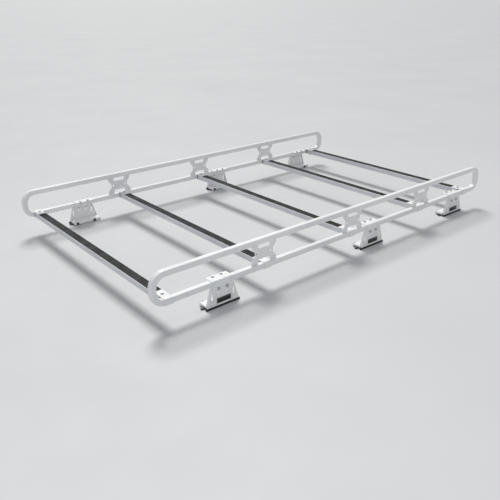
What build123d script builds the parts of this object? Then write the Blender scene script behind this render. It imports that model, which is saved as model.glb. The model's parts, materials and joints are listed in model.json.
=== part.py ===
from build123d import *
import os

# Ladder rack for a van with rain gutters. Millimetres; X forward, Y left, Z up, Z = 0 under the feet.

# Rails
rack_length = 2750
rack_width = 1600
tube = 32
tube_bore = 28
tube_corner = 6
bore_corner = 4
upper_bend_radius = 64
lower_bend_radius = 54
lower_rail_z = 132
upper_rail_z = 278
rail_y = rack_width / 2 - tube / 2
rail_end_x = rack_length / 2 - tube / 2
upper_bend_x = rail_end_x - upper_bend_radius
lower_bend_x = rail_end_x - lower_bend_radius

# Brace plates between the rails
brace_x = [-680, 18, 696]
brace_thickness = 5
brace_bottom_z = lower_rail_z + tube / 2
brace_top_z = upper_rail_z - tube / 2
brace_middle_z = (brace_bottom_z + brace_top_z) / 2
slot_floor_z = brace_top_z - 26
arch_top_z = brace_bottom_z + 25.6
brace_hole_radius = 6.5
brace_hole_spacing = 94
brace_outline_radius = 18
brace_window_radius = 8
brace_front_half = [
    (84, brace_top_z),
    (84, brace_top_z - 16),
    (61, brace_top_z - 44),
    (61, brace_bottom_z + 44),
    (86, brace_bottom_z + 18),
    (86, brace_bottom_z),
]
brace_rear_half = [(-x, z) for x, z in reversed(brace_front_half)]
brace_slot = [(-45, brace_top_z), (-39, slot_floor_z), (39, slot_floor_z), (45, brace_top_z)]
brace_arch = [(-45, brace_bottom_z), (-39, arch_top_z), (39, arch_top_z), (45, brace_bottom_z)]

# Crossbars
crossbar_x = [-1285, -667, 7, 682, 1207]
bar_width = 52
bar_height = 32.6
bar_half_length = 759
bar_corner = 2
bar_bottom_z = lower_rail_z - bar_height / 2
bar_top_z = lower_rail_z + bar_height / 2
chamber_x = 17.65
chamber_width = 12.3
chamber_height = 28.2
chamber_corner = 1
middle_chamber_width = 19
middle_chamber_height = 16.4
middle_chamber_z = lower_rail_z + 2.1
groove_spacing = 12
groove_width = 1.2
groove_depth = 0.8
channel_width = 14
channel_depth = 4
slot_mouth = 10.5
slot_width = 17
slot_lip = 2.2
slot_depth = 8.2

# Rubber strips and end caps
rubber_width = 46
rubber_height = 2.4
rubber_half_length = 700
rubber_corner = 1.8
rib_pitch = 6
rib_gap_width = 1.4
rib_gap_depth = 0.6
tongue_width = channel_width - 0.6
tongue_depth = channel_depth - 0.4
cap_thickness = 7.5
cap_height = 32.2
plug_depth = 10
plug_width = chamber_width - 0.6
plug_height = chamber_height - 0.6

# Crossbar clamps
strap_width = 48
strap_thickness = 3.5
strap_bend_radius = 5
strap_tip_radius = 6
strap_inner_y = rack_width / 2 + 0.3
strap_outer_y = strap_inner_y + strap_thickness
strap_tip_y = 706
strap_bottom_z = bar_bottom_z - strap_thickness
strap_height = bar_height + 2 * strap_thickness
clamp_bolt_y = 745

# Legs
leg_x = {"rear": -970, "middle": 195, "front": 1076}
plate = 3
bend_radius = 1.5
web_y = rack_width / 2 + 0.4
web_half_top = 65
web_half_foot = 103
web_bottom_z = 3
web_taper_bottom_z = 6
web_taper_top_z = 130
web_top_z = 140
saddle_z = lower_rail_z + tube / 2 + 0.4
saddle_bend_radius = 5
saddle_tip_y = 744
saddle_length = web_y - saddle_tip_y
saddle_rise = saddle_z - web_top_z
web_taper = (web_half_foot - web_half_top) / (web_taper_top_z - web_taper_bottom_z)
edge_return_depth = 11
edge_return_bottom_z = 18
edge_return_top_z = 112
return_half_bottom = web_half_foot - web_taper * (edge_return_bottom_z - web_taper_bottom_z)
return_half_top = web_half_foot - web_taper * (edge_return_top_z - web_taper_bottom_z)
foot_flange_z = 18
foot_lip_y = 732
foot_depth = web_y - foot_lip_y
foot_rise = foot_flange_z - web_bottom_z
foot_half_length = 97
foot_end_lip_z = 9
foot_end_lip_outer_y = 790
leg_slot_x = 68
leg_slot_z = 68
leg_slot_length = 38
leg_slot_width = 9
corner_hole_x = 52
corner_hole_z = 129
corner_hole_rise = 14
corner_hole_radius = 2.5

# Rail clamps: straps from the web, under the rail and up its inner face to the saddle
rail_clamp_half_width = 48
rail_clamp_gap = 0.4
rail_clamp_bottom_z = 92
rail_clamp_top_z = lower_rail_z - tube / 2 - rail_clamp_gap
rail_clamp_face_y = rail_y - tube / 2 - rail_clamp_gap
rail_clamp_corner = 1
rail_clamp_outline = [
    (web_y - plate, rail_clamp_bottom_z),
    (web_y, rail_clamp_bottom_z),
    (web_y, rail_clamp_top_z),
    (rail_clamp_face_y, rail_clamp_top_z),
    (rail_clamp_face_y, saddle_z),
    (saddle_tip_y, saddle_z),
    (saddle_tip_y, saddle_z - plate),
    (rail_clamp_face_y - plate, saddle_z - plate),
    (rail_clamp_face_y - plate, rail_clamp_top_z - plate),
    (web_y - plate, rail_clamp_top_z - plate),
]
rail_clamp_bends = [
    ((web_y, rail_clamp_top_z), bend_radius + plate),
    ((web_y - plate, rail_clamp_top_z - plate), bend_radius),
    ((rail_clamp_face_y, rail_clamp_top_z), rail_clamp_corner),
    ((rail_clamp_face_y - plate, rail_clamp_top_z - plate), rail_clamp_corner + plate),
    ((rail_clamp_face_y - plate, saddle_z - plate), rail_clamp_corner),
    ((rail_clamp_face_y, saddle_z), rail_clamp_corner + plate),
]
leg_bolt_spacing = 54
saddle_bolt_y = 756
side_bolt_z = 104
spare_hole_z = 80

# Feet
trim_height = 11
trim_wall = 3
trim_corner = 1.4
trim_half_length = 106
jaw_shift = -12
jaw_bolt_spacing = 124
lip_hole_radius = 3.5
jaw_bolt_z = 11.5
jaw_bolt_grip = 55
jaw_y = 771
jaw_half_length = 103
jaw_upright_half_length = 78
jaw_width = 14
jaw_bottom_z = 0.5
jaw_step_z = 7
jaw_top_z = 17.5
jaw_root_z = 5
jaw_upright = 4
jaw_corner = 1.4
jaw_hole_radius = 4.3

# M8 bolts
bolt_radius = 4
hole_radius = 4.5
hex_flats = 13
head_height = 5.3
nut_height = 6.5
thread_end = 3
washer_radius = 8
jaw_washer_radius = 9
washer_height = 1.6

sides = {"left": 1, "right": -1}
from_corner = (Align.MIN, Align.MIN)
from_middle = (Align.CENTER, Align.MIN)
os.makedirs("parts", exist_ok=True)


def side_view(side, y):
    """Plane along one side of the rack: first axis forward, second up. Its normal is -Y."""
    return Plane.XZ.offset(-side * y)


def cross_view(side, x):
    """Plane across the rack at x: first axis towards the given side, second up."""
    return Plane(origin=(x, 0, 0), x_dir=(0, side, 0), z_dir=(side, 0, 0))


def bolt_seat(side, x, y, z, out=(0, 0, 1)):
    """Plane a bolt head sits on, facing the way the head points."""
    return Plane(origin=(x, side * y, z), x_dir=(1, 0, 0), z_dir=(0, side * out[1], out[2]))


def export_bolts(node, bolts):
    """One node of M8 bolts, each given by its seat plane, grip length, washer radius and nut height."""
    with BuildPart() as fasteners:
        for seat, grip, washer, nut in bolts:
            with BuildSketch(seat):
                Circle(washer)
            extrude(amount=washer_height)
            with BuildSketch(seat.offset(washer_height)):
                RegularPolygon(hex_flats / 2, 6, major_radius=False)
            extrude(amount=head_height)
            with BuildSketch(seat):
                Circle(bolt_radius)
            extrude(amount=-(grip + nut + thread_end))
            if nut > 0:
                with BuildSketch(seat.offset(-grip)):
                    RegularPolygon(hex_flats / 2, 6, major_radius=False)
                extrude(amount=-nut)
    fasteners.part.label = node
    export_step(fasteners.part, f"parts/{node}.step")


# Rails: each side is a bent upper hoop whose two ends meet a straight lower rail.
for name, side in sides.items():
    with BuildPart() as upper_hoop:
        with BuildLine(side_view(side, rail_y)) as path:
            rear_foot = JernArc((-lower_bend_x, lower_rail_z), (-1, 0), lower_bend_radius, -90)
            rear_post = Line(rear_foot @ 1, (-rail_end_x, upper_rail_z - upper_bend_radius))
            rear_head = JernArc(rear_post @ 1, (0, 1), upper_bend_radius, -90)
            top = Line(rear_head @ 1, (upper_bend_x, upper_rail_z))
            front_head = JernArc(top @ 1, (1, 0), upper_bend_radius, -90)
            front_post = Line(front_head @ 1, (rail_end_x, lower_rail_z + lower_bend_radius))
            front_foot = JernArc(front_post @ 1, (0, -1), lower_bend_radius, -90)
        with BuildSketch(Plane.YZ.offset(-lower_bend_x)):
            with Locations((side * rail_y, lower_rail_z)):
                RectangleRounded(tube, tube, tube_corner)
                RectangleRounded(tube_bore, tube_bore, bore_corner, mode=Mode.SUBTRACT)
        sweep()
    upper_hoop.part.label = f"upper_hoop_{name}"
    export_step(upper_hoop.part, f"parts/upper_hoop_{name}.step")

    with BuildPart() as lower_rail:
        with BuildSketch(Plane.YZ):
            with Locations((side * rail_y, lower_rail_z)):
                RectangleRounded(tube, tube, tube_corner)
                RectangleRounded(tube_bore, tube_bore, bore_corner, mode=Mode.SUBTRACT)
        extrude(amount=lower_bend_x, both=True)
    lower_rail.part.label = f"lower_rail_{name}"
    export_step(lower_rail.part, f"parts/lower_rail_{name}.step")

# Brace plates: waisted plates with a slot under the upper rail and an arch over the lower one.
with BuildPart() as brace_plates:
    for side in sides.values():
        with BuildSketch(side_view(side, rail_y)) as brace:
            with Locations(*[(x, 0) for x in brace_x]):
                Polygon(*brace_front_half, *brace_rear_half, align=None)
                Polygon(*brace_slot, align=None, mode=Mode.SUBTRACT)
                Polygon(*brace_arch, align=None, mode=Mode.SUBTRACT)
            corners = brace.vertices().filter_by_position(Axis.Y, brace_bottom_z + 1, brace_top_z - 1)
            windows = corners.filter_by(lambda corner: corner.Y in (slot_floor_z, arch_top_z))
            outline = corners.filter_by(lambda corner: corner.Y not in (slot_floor_z, arch_top_z))
            fillet(windows, brace_window_radius)
            fillet(outline, brace_outline_radius)
            with Locations(*[(x, brace_middle_z) for x in brace_x]):
                with GridLocations(brace_hole_spacing, 0, 2, 1):
                    Circle(brace_hole_radius, mode=Mode.SUBTRACT)
        extrude(amount=brace_thickness / 2, both=True)
brace_plates.part.label = "brace_plates"
export_step(brace_plates.part, "parts/brace_plates.step")

# Crossbars: each is a hollow extrusion with a rubber strip on top, capped and clamped to the lower rails.
for number, x in enumerate(crossbar_x, 1):
    with BuildPart() as crossbar:
        with BuildSketch(Plane.XZ):
            with Locations((x, lower_rail_z)):
                RectangleRounded(bar_width, bar_height, bar_corner)
                with GridLocations(2 * chamber_x, 0, 2, 1):
                    RectangleRounded(chamber_width, chamber_height, chamber_corner, mode=Mode.SUBTRACT)
                with GridLocations(bar_width, groove_spacing, 2, 2):
                    Rectangle(2 * groove_depth, groove_width, mode=Mode.SUBTRACT)
            with Locations((x, middle_chamber_z)):
                Rectangle(middle_chamber_width, middle_chamber_height, mode=Mode.SUBTRACT)
            with Locations((x, bar_top_z)):
                Rectangle(channel_width, 2 * channel_depth, mode=Mode.SUBTRACT)
            with Locations((x, bar_bottom_z)):
                Rectangle(slot_mouth, 2 * slot_depth, mode=Mode.SUBTRACT)
            with Locations((x, bar_bottom_z + slot_lip)):
                Rectangle(slot_width, slot_depth - slot_lip, align=from_middle, mode=Mode.SUBTRACT)
        extrude(amount=bar_half_length, both=True)
        with BuildSketch(Plane.XY.offset(bar_bottom_z)):
            with Locations((x, 0)):
                with GridLocations(0, 2 * clamp_bolt_y, 1, 2):
                    Circle(hole_radius)
        extrude(amount=bar_height, mode=Mode.SUBTRACT)
    crossbar.part.label = f"crossbar_{number}"
    export_step(crossbar.part, f"parts/crossbar_{number}.step")

    with BuildPart() as rubber_strip:
        with BuildSketch(Plane.XZ) as rubber_profile:
            with Locations((x, bar_top_z)):
                Rectangle(rubber_width, rubber_height, align=from_middle)
            fillet(rubber_profile.vertices().group_by(Axis.Y)[-1], rubber_corner)
            with Locations((x, bar_top_z + rubber_height)):
                with GridLocations(rib_pitch, 0, 7, 1):
                    Rectangle(rib_gap_width, 2 * rib_gap_depth, mode=Mode.SUBTRACT)
            with Locations((x, bar_top_z)):
                Rectangle(tongue_width, tongue_depth, align=(Align.CENTER, Align.MAX))
        extrude(amount=rubber_half_length, both=True)
    rubber_strip.part.label = f"rubber_strip_{number}"
    export_step(rubber_strip.part, f"parts/rubber_strip_{number}.step")

    with BuildPart() as end_caps:
        for side in sides.values():
            with BuildSketch(side_view(side, bar_half_length)):
                with Locations((x, lower_rail_z)):
                    RectangleRounded(bar_width, cap_height, bar_corner)
            extrude(amount=-side * cap_thickness)
            with BuildSketch(side_view(side, bar_half_length)):
                with Locations((x, lower_rail_z)):
                    with GridLocations(2 * chamber_x, 0, 2, 1):
                        RectangleRounded(plug_width, plug_height, chamber_corner)
            extrude(amount=side * plug_depth)
    end_caps.part.label = f"end_caps_{number}"
    export_step(end_caps.part, f"parts/end_caps_{number}.step")

    with BuildPart() as crossbar_clamps:
        for side in sides.values():
            with BuildSketch(cross_view(side, x)) as strap:
                with Locations((strap_tip_y, strap_bottom_z)):
                    Rectangle(strap_outer_y - strap_tip_y, strap_height, align=from_corner)
                fillet(strap.vertices().group_by(Axis.X)[-1], strap_bend_radius + strap_thickness)
                with Locations((strap_tip_y, bar_bottom_z)):
                    Rectangle(strap_inner_y - strap_tip_y, bar_height, align=from_corner, mode=Mode.SUBTRACT)
                inside = strap.vertices().filter_by_position(Axis.X, strap_inner_y - 1, strap_inner_y + 1)
                fillet(inside, strap_bend_radius)
            extrude(amount=strap_width / 2, both=True)
        uprights = crossbar_clamps.edges().filter_by(Axis.Z)
        tips = uprights.filter_by(lambda edge: abs(edge.center().Y) < strap_tip_y + 1)
        fillet(tips, strap_tip_radius)
        with BuildSketch(Plane.XY.offset(strap_bottom_z)):
            with Locations((x, 0)):
                with GridLocations(0, 2 * clamp_bolt_y, 1, 2):
                    Circle(hole_radius)
        extrude(amount=strap_height, mode=Mode.SUBTRACT)
    crossbar_clamps.part.label = f"crossbar_clamps_{number}"
    export_step(crossbar_clamps.part, f"parts/crossbar_clamps_{number}.step")

    clamp_bolts = []
    for side in sides.values():
        seat = bolt_seat(side, x, clamp_bolt_y, bar_top_z + strap_thickness)
        clamp_bolts.append((seat, strap_height, washer_radius, nut_height))
    export_bolts(f"clamp_bolts_{number}", clamp_bolts)

# Legs: each is a formed plate hooked over the lower rail, clamped from inside, standing in the rain gutter.
for position, x in leg_x.items():
    for name, side in sides.items():
        with BuildPart() as leg:
            with BuildSketch(side_view(side, web_y)):
                with Locations((x, 0)):
                    Polygon(
                        (-web_half_foot, web_bottom_z),
                        (-web_half_foot, web_taper_bottom_z),
                        (-web_half_top, web_taper_top_z),
                        (-web_half_top, web_top_z),
                        (web_half_top, web_top_z),
                        (web_half_top, web_taper_top_z),
                        (web_half_foot, web_taper_bottom_z),
                        (web_half_foot, web_bottom_z),
                        align=None,
                    )
                with Locations((x, leg_slot_z)):
                    with GridLocations(2 * leg_slot_x, 0, 2, 1):
                        SlotOverall(leg_slot_length, leg_slot_width, rotation=90, mode=Mode.SUBTRACT)
                with Locations((x, side_bolt_z), (x, spare_hole_z)):
                    with GridLocations(leg_bolt_spacing, 0, 2, 1):
                        Circle(hole_radius, mode=Mode.SUBTRACT)
                with Locations((x, corner_hole_z)):
                    with GridLocations(2 * corner_hole_x, corner_hole_rise, 2, 2):
                        Circle(corner_hole_radius, mode=Mode.SUBTRACT)
            extrude(amount=-side * plate)
            with BuildSketch(side_view(side, web_y)):
                with Locations((x, 0)):
                    for hand in (-1, 1):
                        Polygon(
                            (hand * return_half_bottom, edge_return_bottom_z),
                            (hand * return_half_top, edge_return_top_z),
                            (hand * (return_half_top - plate), edge_return_top_z),
                            (hand * (return_half_bottom - plate), edge_return_bottom_z),
                            align=None,
                        )
            extrude(amount=side * edge_return_depth)
            with BuildSketch(cross_view(side, x)) as hook:
                with Locations((saddle_tip_y, web_top_z)):
                    Rectangle(saddle_length + plate, saddle_rise + plate, align=from_corner)
                outer_bend = hook.vertices().sort_by_distance((web_y + plate, saddle_z + plate))[0]
                fillet(outer_bend, saddle_bend_radius + plate)
                with Locations((saddle_tip_y, web_top_z)):
                    Rectangle(saddle_length, saddle_rise, align=from_corner, mode=Mode.SUBTRACT)
                fillet(hook.vertices().sort_by_distance((web_y, saddle_z))[0], saddle_bend_radius)
            extrude(amount=web_half_top, both=True)
            with BuildSketch(cross_view(side, x)) as foot:
                with Locations((foot_lip_y, web_bottom_z)):
                    Rectangle(foot_depth, foot_rise + plate, align=from_corner)
                outer_bend = foot.vertices().sort_by_distance((foot_lip_y, foot_flange_z + plate))[0]
                fillet(outer_bend, bend_radius + plate)
                with Locations((foot_lip_y + plate, web_bottom_z)):
                    Rectangle(foot_depth - plate, foot_rise, align=from_corner, mode=Mode.SUBTRACT)
                inner_bend = foot.vertices().sort_by_distance((foot_lip_y + plate, foot_flange_z))[0]
                fillet(inner_bend, bend_radius)
            extrude(amount=foot_half_length, both=True)
            with BuildSketch(Plane.XY.offset(foot_end_lip_z)):
                with Locations((x, side * (foot_lip_y + foot_end_lip_outer_y) / 2)):
                    with GridLocations(2 * foot_half_length - plate, 0, 2, 1):
                        Rectangle(plate, foot_end_lip_outer_y - foot_lip_y)
            extrude(amount=foot_flange_z - foot_end_lip_z)
            with BuildSketch(side_view(side, foot_lip_y)):
                with Locations((x + jaw_shift, jaw_bolt_z)):
                    Circle(lip_hole_radius)
                    with GridLocations(jaw_bolt_spacing, 0, 2, 1):
                        Circle(hole_radius)
            extrude(amount=-side * plate, mode=Mode.SUBTRACT)
            with BuildSketch(Plane.XY.offset(saddle_z)):
                with Locations((x, side * saddle_bolt_y)):
                    with GridLocations(leg_bolt_spacing, 0, 2, 1):
                        Circle(hole_radius)
            extrude(amount=plate, mode=Mode.SUBTRACT)
        leg.part.label = f"leg_{position}_{name}"
        export_step(leg.part, f"parts/leg_{position}_{name}.step")

        with BuildPart() as rail_clamp:
            with BuildSketch(cross_view(side, x)) as strap:
                with BuildLine():
                    Polyline(*rail_clamp_outline, close=True)
                make_face()
                for corner, radius in rail_clamp_bends:
                    fillet(strap.vertices().sort_by_distance(corner)[0], radius)
            extrude(amount=rail_clamp_half_width, both=True)
            with BuildSketch(side_view(side, web_y - plate)):
                with Locations((x, side_bolt_z)):
                    with GridLocations(leg_bolt_spacing, 0, 2, 1):
                        Circle(hole_radius)
            extrude(amount=-side * plate, mode=Mode.SUBTRACT)
            with BuildSketch(Plane.XY.offset(saddle_z - plate)):
                with Locations((x, side * saddle_bolt_y)):
                    with GridLocations(leg_bolt_spacing, 0, 2, 1):
                        Circle(hole_radius)
            extrude(amount=plate, mode=Mode.SUBTRACT)
        rail_clamp.part.label = f"rail_clamp_{position}_{name}"
        export_step(rail_clamp.part, f"parts/rail_clamp_{position}_{name}.step")

        with BuildPart() as gutter_trim:
            with BuildSketch(cross_view(side, x)) as channel:
                with Locations((web_y + plate / 2, 0)):
                    Rectangle(plate + 2 * trim_wall, trim_height, align=from_middle)
                fillet(channel.vertices(), trim_corner)
                with Locations((web_y + plate / 2, web_bottom_z)):
                    Rectangle(plate, trim_height, align=from_middle, mode=Mode.SUBTRACT)
            extrude(amount=trim_half_length, both=True)
        gutter_trim.part.label = f"gutter_trim_{position}_{name}"
        export_step(gutter_trim.part, f"parts/gutter_trim_{position}_{name}.step")

        with BuildPart() as gutter_jaw:
            with BuildSketch(cross_view(side, x + jaw_shift)) as jaw_foot:
                with Locations((jaw_y, jaw_bottom_z)):
                    Rectangle(jaw_width, jaw_step_z - jaw_bottom_z, align=from_middle)
                fillet(jaw_foot.vertices(), jaw_corner)
            extrude(amount=jaw_half_length, both=True)
            with BuildSketch(cross_view(side, x + jaw_shift)):
                with Locations((jaw_y, jaw_root_z)):
                    Rectangle(jaw_upright, jaw_top_z - jaw_root_z, align=from_middle)
            extrude(amount=jaw_upright_half_length, both=True)
            with BuildSketch(side_view(side, jaw_y)):
                with Locations((x + jaw_shift, jaw_bolt_z)):
                    with GridLocations(jaw_bolt_spacing, 0, 2, 1):
                        Circle(jaw_hole_radius)
            extrude(amount=jaw_upright, both=True, mode=Mode.SUBTRACT)
        gutter_jaw.part.label = f"gutter_jaw_{position}_{name}"
        export_step(gutter_jaw.part, f"parts/gutter_jaw_{position}_{name}.step")

        leg_bolts = []
        for bolt_x in (x - leg_bolt_spacing / 2, x + leg_bolt_spacing / 2):
            top_seat = bolt_seat(side, bolt_x, saddle_bolt_y, saddle_z + plate)
            side_seat = bolt_seat(side, bolt_x, web_y + plate, side_bolt_z, out=(0, 1, 0))
            leg_bolts.append((top_seat, 2 * plate, washer_radius, nut_height))
            leg_bolts.append((side_seat, 2 * plate, washer_radius, nut_height))
        for bolt_x in (x + jaw_shift - jaw_bolt_spacing / 2, x + jaw_shift + jaw_bolt_spacing / 2):
            jaw_seat = bolt_seat(side, bolt_x, foot_lip_y, jaw_bolt_z, out=(0, -1, 0))
            leg_bolts.append((jaw_seat, jaw_bolt_grip, jaw_washer_radius, 0))
        export_bolts(f"leg_bolts_{position}_{name}", leg_bolts)
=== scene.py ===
import json
import math

import bmesh
import bpy
from mathutils import Matrix, Vector


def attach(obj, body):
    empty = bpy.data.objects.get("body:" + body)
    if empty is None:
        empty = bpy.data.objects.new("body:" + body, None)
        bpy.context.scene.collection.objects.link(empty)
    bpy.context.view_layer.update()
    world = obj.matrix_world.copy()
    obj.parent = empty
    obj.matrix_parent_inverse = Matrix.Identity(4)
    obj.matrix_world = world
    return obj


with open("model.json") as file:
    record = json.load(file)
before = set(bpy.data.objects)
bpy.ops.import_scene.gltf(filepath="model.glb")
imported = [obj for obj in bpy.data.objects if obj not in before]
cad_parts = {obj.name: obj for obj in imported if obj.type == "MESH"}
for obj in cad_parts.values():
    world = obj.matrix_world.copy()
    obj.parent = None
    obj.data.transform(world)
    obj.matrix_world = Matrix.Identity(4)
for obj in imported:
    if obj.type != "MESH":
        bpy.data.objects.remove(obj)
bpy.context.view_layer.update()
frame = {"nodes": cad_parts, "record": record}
nodes = frame["nodes"]
scene = bpy.context.scene

# Sizes shared with the CAD part, in metres.
RAIL_Y = 0.784
LOWER_RAIL_Z = 0.132
UPPER_RAIL_Z = 0.278
TUBE = 0.032
TUBE_CORNER = 0.006
RAIL_JOINT_X = 1.305
BRACE_X = (-0.680, 0.018, 0.696)
BRACE_HALF_THICKNESS = 0.0025
LEG_X = {"rear": -0.970, "middle": 0.195, "front": 1.076}
SIDES = {"left": 1, "right": -1}
WEB_FACE_Y = 0.8034

# Surface detail that only this scene adds, in metres.
WELD_LIFT = 0.0006
BEAD_SIDES = 8
BEAD_STEP = 0.0016
BRACE_WELD_RADIUS = 0.0021
BRACE_WELD_RIPPLE = 0.16
BRACE_WELD_NEAR = 0.050
BRACE_WELD_FAR_LOW = 0.083
BRACE_WELD_FAR_HIGH = 0.081
BUTT_WELD_RADIUS = 0.0014
BUTT_WELD_RIPPLE = 0.10
BUTT_WELD_SINK = 0.00135
BUTT_WELD_CORNER_POINTS = 10
DECAL_SHIFT_X = 0.005
DECAL_Z = 0.038
DECAL_CORNER_STEPS = 6


# ---------------------------------------------------------------- materials


class Graph:
    """A small helper for building one material's node tree."""

    def __init__(self, name):
        self.material = bpy.data.materials.new(name)
        self.material.use_nodes = True
        self.tree = self.material.node_tree
        self.shader = self.tree.nodes["Principled BSDF"]
        self.place = self.tree.nodes.new("ShaderNodeTexCoord").outputs["Object"]

    def add(self, kind, **settings):
        node = self.tree.nodes.new("ShaderNode" + kind)
        for key, value in settings.items():
            setattr(node, key, value)
        return node

    def link(self, source, target):
        self.tree.links.new(source, target)

    def noise(self, scale, detail=4.0, rough=0.55, stretch=None):
        place = self.place
        if stretch:
            mapping = self.add("Mapping")
            mapping.inputs["Scale"].default_value = stretch
            self.link(place, mapping.inputs["Vector"])
            place = mapping.outputs["Vector"]
        node = self.add("TexNoise")
        node.inputs["Scale"].default_value = scale
        node.inputs["Detail"].default_value = detail
        node.inputs["Roughness"].default_value = rough
        self.link(place, node.inputs["Vector"])
        return node.outputs["Fac"]

    def remap(self, value, low, high, to_low=0.0, to_high=1.0):
        node = self.add("MapRange", clamp=True)
        self.link(value, node.inputs["Value"])
        node.inputs["From Min"].default_value = low
        node.inputs["From Max"].default_value = high
        node.inputs["To Min"].default_value = to_low
        node.inputs["To Max"].default_value = to_high
        return node.outputs["Result"]

    def math(self, operation, a, b):
        node = self.add("Math", operation=operation)
        for socket, value in zip(node.inputs, (a, b)):
            if isinstance(value, (int, float)):
                socket.default_value = value
            else:
                self.link(value, socket)
        return node.outputs[0]

    def mix(self, factor, a, b):
        node = self.add("Mix", data_type="RGBA")
        self.link(factor, node.inputs["Factor"])
        for socket, value in ((node.inputs[6], a), (node.inputs[7], b)):
            if isinstance(value, tuple):
                socket.default_value = (*value, 1.0)
            else:
                self.link(value, socket)
        return node.outputs[2]

    def edges(self, radius):
        """0 on flat faces, towards 1 on outside edges about as wide as radius, and the rounded normal."""
        bevel = self.add("Bevel", samples=4)
        bevel.inputs["Radius"].default_value = radius
        geometry = self.add("NewGeometry")
        dot = self.add("VectorMath", operation="DOT_PRODUCT")
        self.link(bevel.outputs["Normal"], dot.inputs[0])
        self.link(geometry.outputs["True Normal"], dot.inputs[1])
        return self.remap(dot.outputs["Value"], 0.995, 0.86), bevel.outputs["Normal"]

    def upward(self):
        """1 on faces that look up, 0 on walls and undersides."""
        geometry = self.add("NewGeometry")
        parts = self.add("SeparateXYZ")
        self.link(geometry.outputs["Normal"], parts.inputs[0])
        return self.remap(parts.outputs["Z"], 0.3, 0.95)

    def height(self):
        parts = self.add("SeparateXYZ")
        self.link(self.place, parts.inputs[0])
        return parts.outputs["Z"]

    def bump(self, value, strength, distance, normal=None):
        node = self.add("Bump")
        node.inputs["Strength"].default_value = strength
        node.inputs["Distance"].default_value = distance
        self.link(value, node.inputs["Height"])
        if normal is not None:
            self.link(normal, node.inputs["Normal"])
        return node.outputs["Normal"]

    def finish(self, colour, roughness, normal, metallic=0.0, coat=0.0, coat_roughness=0.2):
        self.link(colour, self.shader.inputs["Base Color"])
        self.link(roughness, self.shader.inputs["Roughness"])
        self.link(normal, self.shader.inputs["Normal"])
        if isinstance(metallic, float):
            self.shader.inputs["Metallic"].default_value = metallic
        else:
            self.link(metallic, self.shader.inputs["Metallic"])
        self.shader.inputs["Coat Weight"].default_value = coat
        self.shader.inputs["Coat Roughness"].default_value = coat_roughness
        return self.material


def painted_steel():
    """White powder coat: faint orange peel, road film in broad patches, small chips along the edges."""
    g = Graph("white powder coat")
    tone = g.remap(g.noise(2.2, 6.0, 0.6), 0.35, 0.68)
    colour = g.mix(tone, (0.765, 0.775, 0.785), (0.865, 0.868, 0.865))
    film = g.math("MULTIPLY", g.remap(g.noise(9.0, 8.0, 0.62), 0.48, 0.72), g.upward())
    colour = g.mix(g.math("MULTIPLY", film, 0.3), colour, (0.66, 0.64, 0.60))
    streaks = g.remap(g.noise(14.0, 5.0, 0.6, stretch=(1.0, 1.0, 0.12)), 0.60, 0.78)
    colour = g.mix(g.math("MULTIPLY", streaks, 0.18), colour, (0.60, 0.59, 0.57))
    edge, rounded = g.edges(0.0014)
    chips = g.math("MULTIPLY", edge, g.remap(g.noise(75.0, 6.0, 0.7), 0.56, 0.66))
    colour = g.mix(g.math("MULTIPLY", chips, 0.75), colour, (0.36, 0.36, 0.37))
    sheen = g.remap(g.noise(11.0, 5.0), 0.3, 0.7, 0.27, 0.40)
    roughness = g.math("ADD", sheen, g.math("MULTIPLY", chips, 0.25))
    peel = g.math("SUBTRACT", g.noise(420.0, 2.0, 0.5), g.math("MULTIPLY", chips, 0.8))
    return g.finish(colour, roughness, g.bump(peel, 0.22, 0.0005, rounded), coat=0.18, coat_roughness=0.25)


def bar_finish():
    """Satin silver-grey extrusion with drawing lines along its length."""
    g = Graph("satin extrusion")
    tone = g.remap(g.noise(3.5, 5.0, 0.6), 0.35, 0.68)
    colour = g.mix(tone, (0.63, 0.645, 0.675), (0.75, 0.76, 0.78))
    lines = g.noise(60.0, 4.0, 0.6, stretch=(22.0, 0.25, 22.0))
    colour = g.mix(g.remap(lines, 0.5, 0.75, 0.0, 0.30), colour, (0.55, 0.56, 0.58))
    edge, rounded = g.edges(0.0009)
    worn = g.math("MULTIPLY", edge, g.remap(g.noise(60.0, 5.0, 0.7), 0.5, 0.64))
    colour = g.mix(g.math("MULTIPLY", worn, 0.6), colour, (0.86, 0.86, 0.87))
    roughness = g.remap(lines, 0.3, 0.75, 0.30, 0.46)
    return g.finish(colour, roughness, g.bump(lines, 0.12, 0.0002, rounded), metallic=0.12)


def black_rubber():
    """Ribbed rubber, greyed by dust in patches and scuffed along the ribs."""
    g = Graph("black rubber")
    tone = g.remap(g.noise(18.0, 7.0, 0.65), 0.35, 0.7)
    colour = g.mix(tone, (0.010, 0.010, 0.012), (0.028, 0.028, 0.031))
    dust = g.math("MULTIPLY", g.remap(g.noise(6.0, 8.0, 0.7), 0.50, 0.74), g.upward())
    colour = g.mix(g.math("MULTIPLY", dust, 0.14), colour, (0.13, 0.13, 0.13))
    edge, rounded = g.edges(0.0005)
    scuff = g.math("MULTIPLY", edge, g.remap(g.noise(45.0, 6.0, 0.7, stretch=(1.0, 0.15, 1.0)), 0.45, 0.7))
    colour = g.mix(g.math("MULTIPLY", scuff, 0.4), colour, (0.12, 0.12, 0.125))
    roughness = g.remap(g.noise(30.0, 6.0), 0.3, 0.7, 0.62, 0.82)
    g.shader.inputs["Specular IOR Level"].default_value = 0.28
    return g.finish(colour, roughness, g.bump(g.noise(900.0, 3.0, 0.6), 0.3, 0.0003, rounded))


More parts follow.
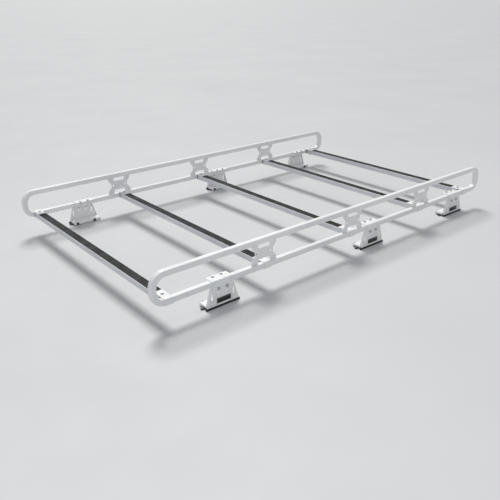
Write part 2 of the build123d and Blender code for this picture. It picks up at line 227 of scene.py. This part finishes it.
def black_plastic():
    """Fine-grained moulded plastic with paler rubbed edges."""
    g = Graph("moulded plastic")
    colour = g.mix(g.remap(g.noise(40.0, 5.0), 0.35, 0.7), (0.009, 0.009, 0.010), (0.022, 0.022, 0.024))
    edge, rounded = g.edges(0.0012)
    rubbed = g.math("MULTIPLY", edge, g.remap(g.noise(120.0, 4.0), 0.42, 0.65))
    colour = g.mix(g.math("MULTIPLY", rubbed, 0.3), colour, (0.09, 0.09, 0.094))
    roughness = g.remap(g.noise(60.0, 4.0), 0.3, 0.7, 0.44, 0.60)
    g.shader.inputs["Specular IOR Level"].default_value = 0.3
    return g.finish(colour, roughness, g.bump(g.noise(1500.0, 2.0, 0.5), 0.35, 0.0002, rounded))


def black_coat():
    """Satin black paint with a little orange peel and bare metal showing at rubbed edges."""
    g = Graph("black coat")
    colour = g.mix(g.remap(g.noise(24.0, 6.0, 0.6), 0.35, 0.7), (0.014, 0.014, 0.016), (0.034, 0.034, 0.037))
    edge, rounded = g.edges(0.0009)
    bare = g.math("MULTIPLY", edge, g.remap(g.noise(110.0, 6.0, 0.7), 0.54, 0.66))
    colour = g.mix(g.math("MULTIPLY", bare, 0.6), colour, (0.30, 0.29, 0.28))
    roughness = g.remap(g.noise(35.0, 5.0), 0.3, 0.7, 0.36, 0.52)
    return g.finish(colour, roughness, g.bump(g.noise(520.0, 2.0, 0.5), 0.2, 0.0004, rounded))


def bolt_finish():
    """Zinc plating above the gutter line; the jaw bolts at the feet are black."""
    g = Graph("zinc and black bolts")
    plated = g.mix(g.remap(g.noise(120.0, 5.0, 0.6), 0.35, 0.7), (0.40, 0.41, 0.43), (0.62, 0.62, 0.61))
    stain = g.remap(g.noise(260.0, 6.0, 0.7), 0.60, 0.74)
    plated = g.mix(g.math("MULTIPLY", stain, 0.35), plated, (0.30, 0.25, 0.20))
    black = g.mix(g.remap(g.noise(150.0, 5.0), 0.35, 0.7), (0.012, 0.012, 0.013), (0.035, 0.035, 0.037))
    high = g.remap(g.height(), 0.028, 0.032)
    colour = g.mix(high, black, plated)
    edge, rounded = g.edges(0.0006)
    worn = g.math("MULTIPLY", edge, g.remap(g.noise(200.0, 5.0, 0.7), 0.45, 0.62))
    colour = g.mix(g.math("MULTIPLY", worn, 0.55), colour, (0.66, 0.66, 0.66))
    roughness = g.remap(g.noise(180.0, 5.0), 0.3, 0.7, 0.30, 0.48)
    metallic = g.math("ADD", g.math("MULTIPLY", high, 0.85), 0.1)
    return g.finish(colour, roughness, g.bump(g.noise(700.0, 3.0), 0.15, 0.0002, rounded), metallic=metallic)


def label_finish():
    """A plain dark decal with a thin pale border."""
    g = Graph("blank decal")
    colour = g.mix(g.remap(g.noise(90.0, 5.0), 0.35, 0.7), (0.020, 0.021, 0.024), (0.040, 0.041, 0.045))
    scratch = g.remap(g.noise(80.0, 5.0, 0.7, stretch=(0.3, 1.0, 3.0)), 0.62, 0.7)
    colour = g.mix(g.math("MULTIPLY", scratch, 0.5), colour, (0.20, 0.20, 0.21))
    roughness = g.remap(g.noise(50.0, 4.0), 0.3, 0.7, 0.28, 0.42)
    return g.finish(colour, roughness, g.bump(g.noise(300.0, 2.0), 0.1, 0.0002))


def floor_finish():
    """Pale, matt studio floor with very faint variation."""
    g = Graph("studio floor")
    colour = g.mix(g.remap(g.noise(0.7, 5.0), 0.3, 0.7), (0.535, 0.54, 0.55), (0.565, 0.57, 0.575))
    roughness = g.remap(g.noise(3.0, 4.0), 0.3, 0.7, 0.62, 0.72)
    return g.finish(colour, roughness, g.bump(g.noise(60.0, 3.0), 0.04, 0.001))


FINISHES = {
    "white_paint": painted_steel(),
    "bar_extrusion": bar_finish(),
    "black_rubber": black_rubber(),
    "black_plastic": black_plastic(),
    "black_paint": black_coat(),
    "zinc_steel": bolt_finish(),
}
for part in frame["record"]["subparts"]:
    mesh = nodes[part["node"]].data
    mesh.materials.clear()
    mesh.materials.append(FINISHES[part["material_slot"]])


# ---------------------------------------------------------------- added detail


def mesh_object(name, material, body, build):
    """Makes a mesh from what build(bm) adds, gives it a finish and lets it ride on a body."""
    bm = bmesh.new()
    build(bm)
    bmesh.ops.recalc_face_normals(bm, faces=bm.faces)
    mesh = bpy.data.meshes.new(name)
    bm.to_mesh(mesh)
    bm.free()
    for polygon in mesh.polygons:
        polygon.use_smooth = True
    mesh.materials.append(material)
    made = bpy.data.objects.new(name, mesh)
    scene.collection.objects.link(made)
    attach(made, body)


def tube_along(bm, points, ups, outs, radius, ripple, closed):
    """A weld bead: an eight-sided tube through the points, swelling and narrowing like laid drops."""
    rings = []
    for number, (point, up, out) in enumerate(zip(points, ups, outs)):
        r = radius * (1 + ripple * math.sin(number * 2.1))
        turn = [2 * math.pi * k / BEAD_SIDES for k in range(BEAD_SIDES)]
        rings.append([bm.verts.new(point + up * (r * math.cos(t)) + out * (r * math.sin(t))) for t in turn])
    last = len(rings) if closed else len(rings) - 1
    for a in range(last):
        b = (a + 1) % len(rings)
        for k in range(BEAD_SIDES):
            m = (k + 1) % BEAD_SIDES
            bm.faces.new((rings[a][k], rings[a][m], rings[b][m], rings[b][k]))
    if not closed:
        bm.faces.new(rings[0])
        bm.faces.new(list(reversed(rings[-1])))


def straight_bead(bm, start, end):
    """One bead along a straight, level seam."""
    steps = max(8, round((end - start).length / BEAD_STEP))
    direction = (end - start).normalized()
    side = direction.cross(Vector((0, 0, 1)))
    points = [start.lerp(end, k / steps) for k in range(steps + 1)]
    count = len(points)
    ups = [Vector((0, 0, 1))] * count
    tube_along(bm, points, ups, [side] * count, BRACE_WELD_RADIUS, BRACE_WELD_RIPPLE, closed=False)


def brace_welds(bm):
    """Short fillet beads on both faces of every brace plate, where it meets the two rails."""
    for side in SIDES.values():
        for x in BRACE_X:
            for face in (-1, 1):
                y = side * RAIL_Y + face * (BRACE_HALF_THICKNESS + WELD_LIFT)
                for z, far in (
                    (LOWER_RAIL_Z + TUBE / 2 + WELD_LIFT, BRACE_WELD_FAR_LOW),
                    (UPPER_RAIL_Z - TUBE / 2 - WELD_LIFT, BRACE_WELD_FAR_HIGH),
                ):
                    for hand in (-1, 1):
                        start = Vector((x + hand * BRACE_WELD_NEAR, y, z))
                        end = Vector((x + hand * far, y, z))
                        straight_bead(bm, start, end)


def butt_welds(bm):
    """Beads round the tube at each end of the lower rails, dressed low enough to pass under a clamp."""
    flat = TUBE / 2 - TUBE_CORNER
    for side in SIDES.values():
        for x in (-RAIL_JOINT_X, RAIL_JOINT_X):
            points, ups = [], []
            for corner, (cy, cz) in enumerate(((1, 1), (-1, 1), (-1, -1), (1, -1))):
                for k in range(BUTT_WELD_CORNER_POINTS):
                    angle = math.pi / 2 * (corner + k / (BUTT_WELD_CORNER_POINTS - 1))
                    out = Vector((0, math.cos(angle), math.sin(angle)))
                    centre = Vector((x, side * RAIL_Y + cy * flat, LOWER_RAIL_Z + cz * flat))
                    points.append(centre + out * (TUBE_CORNER - BUTT_WELD_SINK))
                    ups.append(out)
            outs = [Vector((1, 0, 0))] * len(points)
            tube_along(bm, points, ups, outs, BUTT_WELD_RADIUS, BUTT_WELD_RIPPLE, closed=True)


mesh_object("brace_weld_beads", FINISHES["white_paint"], "rails", brace_welds)
mesh_object("rail_butt_welds", FINISHES["white_paint"], "rails", butt_welds)


def rounded_slab(width, height, depth, corner, place):
    """A builder for a thin rounded rectangle in the XZ plane, its front face along place's Y axis."""

    def build(bm):
        outline = []
        for cx, cz, first in ((1, 1, 0), (-1, 1, 1), (-1, -1, 2), (1, -1, 3)):
            for k in range(DECAL_CORNER_STEPS + 1):
                angle = math.pi / 2 * (first + k / DECAL_CORNER_STEPS)
                x = cx * (width / 2 - corner) + corner * math.cos(angle)
                z = cz * (height / 2 - corner) + corner * math.sin(angle)
                outline.append((x, z))
        back = [bm.verts.new(place @ Vector((x, 0, z))) for x, z in outline]
        front = [bm.verts.new(place @ Vector((x, depth, z))) for x, z in outline]
        bm.faces.new(back)
        bm.faces.new(front)
        count = len(outline)
        for k in range(count):
            m = (k + 1) % count
            bm.faces.new((back[k], back[m], front[m], front[k]))

    return build


decal = label_finish()
for position, x in LEG_X.items():
    for name, side in SIDES.items():
        body = f"leg_{position}_{name}_set"
        turned = Matrix.Rotation(0 if side > 0 else math.pi, 4, "Z")
        spot = Matrix.Translation((x + DECAL_SHIFT_X, side * WEB_FACE_Y, DECAL_Z)) @ turned
        border = rounded_slab(width=0.094, height=0.032, depth=0.0003, corner=0.004, place=spot)
        face = rounded_slab(width=0.088, height=0.026, depth=0.0005, corner=0.003, place=spot)
        mesh_object(f"decal_border_{position}_{name}", FINISHES["white_paint"], body, border)
        mesh_object(f"decal_{position}_{name}", decal, body, face)


# ---------------------------------------------------------------- studio


def studio_floor():
    """A very wide flat disc whose rim curves up, so no horizon line shows from the main camera."""
    flat = 90.0
    curve = 20.0
    turns = 96
    curve_steps = 8
    profile = [(0.0, 0.0), (flat, 0.0)]
    for k in range(1, curve_steps + 1):
        angle = math.pi / 4 * k / curve_steps
        profile.append((flat + curve * math.sin(angle), curve - curve * math.cos(angle)))
    bm = bmesh.new()
    centre = bm.verts.new((0, 0, 0))
    rings = []
    for radius, z in profile[1:]:
        angles = [2 * math.pi * k / turns for k in range(turns)]
        rings.append([bm.verts.new((radius * math.cos(a), radius * math.sin(a), z)) for a in angles])
    for k in range(turns):
        m = (k + 1) % turns
        bm.faces.new((centre, rings[0][k], rings[0][m]))
        for low, high in zip(rings, rings[1:]):
            bm.faces.new((low[k], high[k], high[m], low[m]))
    mesh = bpy.data.meshes.new("studio_floor")
    bmesh.ops.recalc_face_normals(bm, faces=bm.faces)
    bm.to_mesh(mesh)
    bm.free()
    for polygon in mesh.polygons:
        polygon.use_smooth = True
    mesh.materials.append(floor_finish())
    made = bpy.data.objects.new("studio_floor", mesh)
    scene.collection.objects.link(made)


def soft_light(name, place, target, width, height, watts, tint):
    """A rectangular softbox that faces its target."""
    data = bpy.data.lights.new(name, "AREA")
    data.shape = "RECTANGLE"
    data.size = width
    data.size_y = height
    data.energy = watts
    data.color = tint
    lamp = bpy.data.objects.new(name, data)
    lamp.location = place
    lamp.rotation_euler = (Vector(target) - Vector(place)).to_track_quat("-Z", "Y").to_euler()
    scene.collection.objects.link(lamp)


def broad_key(name, direction, strength, spread, tint):
    """A wide, distant softbox: even over the whole floor, with soft-edged shadows."""
    data = bpy.data.lights.new(name, "SUN")
    data.energy = strength
    data.angle = math.radians(spread)
    data.color = tint
    lamp = bpy.data.objects.new(name, data)
    lamp.rotation_euler = Vector(direction).to_track_quat("Z", "Y").to_euler()
    scene.collection.objects.link(lamp)


studio_floor()
broad_key("key_high_back", direction=(0.34, 0.62, 0.92), strength=2.5, spread=20, tint=(1.0, 0.985, 0.96))
soft_light(
    "top_sheet",
    place=(-0.6, -0.4, 5.2),
    target=(0, 0, 0.1),
    width=4.5,
    height=3.5,
    watts=20,
    tint=(0.97, 0.985, 1.0),
)
soft_light(
    "camera_fill",
    place=(-4.8, -4.2, 2.6),
    target=(0, 0, 0.15),
    width=3.0,
    height=2.2,
    watts=45,
    tint=(0.95, 0.975, 1.0),
)

world = bpy.data.worlds.new("studio")
world.use_nodes = True
world.node_tree.nodes["Background"].inputs["Color"].default_value = (0.94, 0.965, 1.0, 1.0)
world.node_tree.nodes["Background"].inputs["Strength"].default_value = 0.45
scene.world = world
scene.view_settings.view_transform = "Standard"

camera_data = bpy.data.cameras.new("camera")
camera_data.sensor_width = 36
camera_data.lens = 42.42
camera_data.clip_end = 400
camera = bpy.data.objects.new("camera", camera_data)
heading = math.radians(50.325)
pitch = math.radians(-23.803)
roll = math.radians(-0.467)
looking = Vector(
    (math.cos(pitch) * math.cos(heading), math.cos(pitch) * math.sin(heading), math.sin(pitch))
)
camera.rotation_mode = "QUATERNION"
camera.rotation_quaternion = looking.to_track_quat("-Z", "Y") @ Matrix.Rotation(roll, 3, "Z").to_quaternion()
camera.location = (-2.5417, -2.9143, 1.4641)
scene.collection.objects.link(camera)
scene.camera = camera
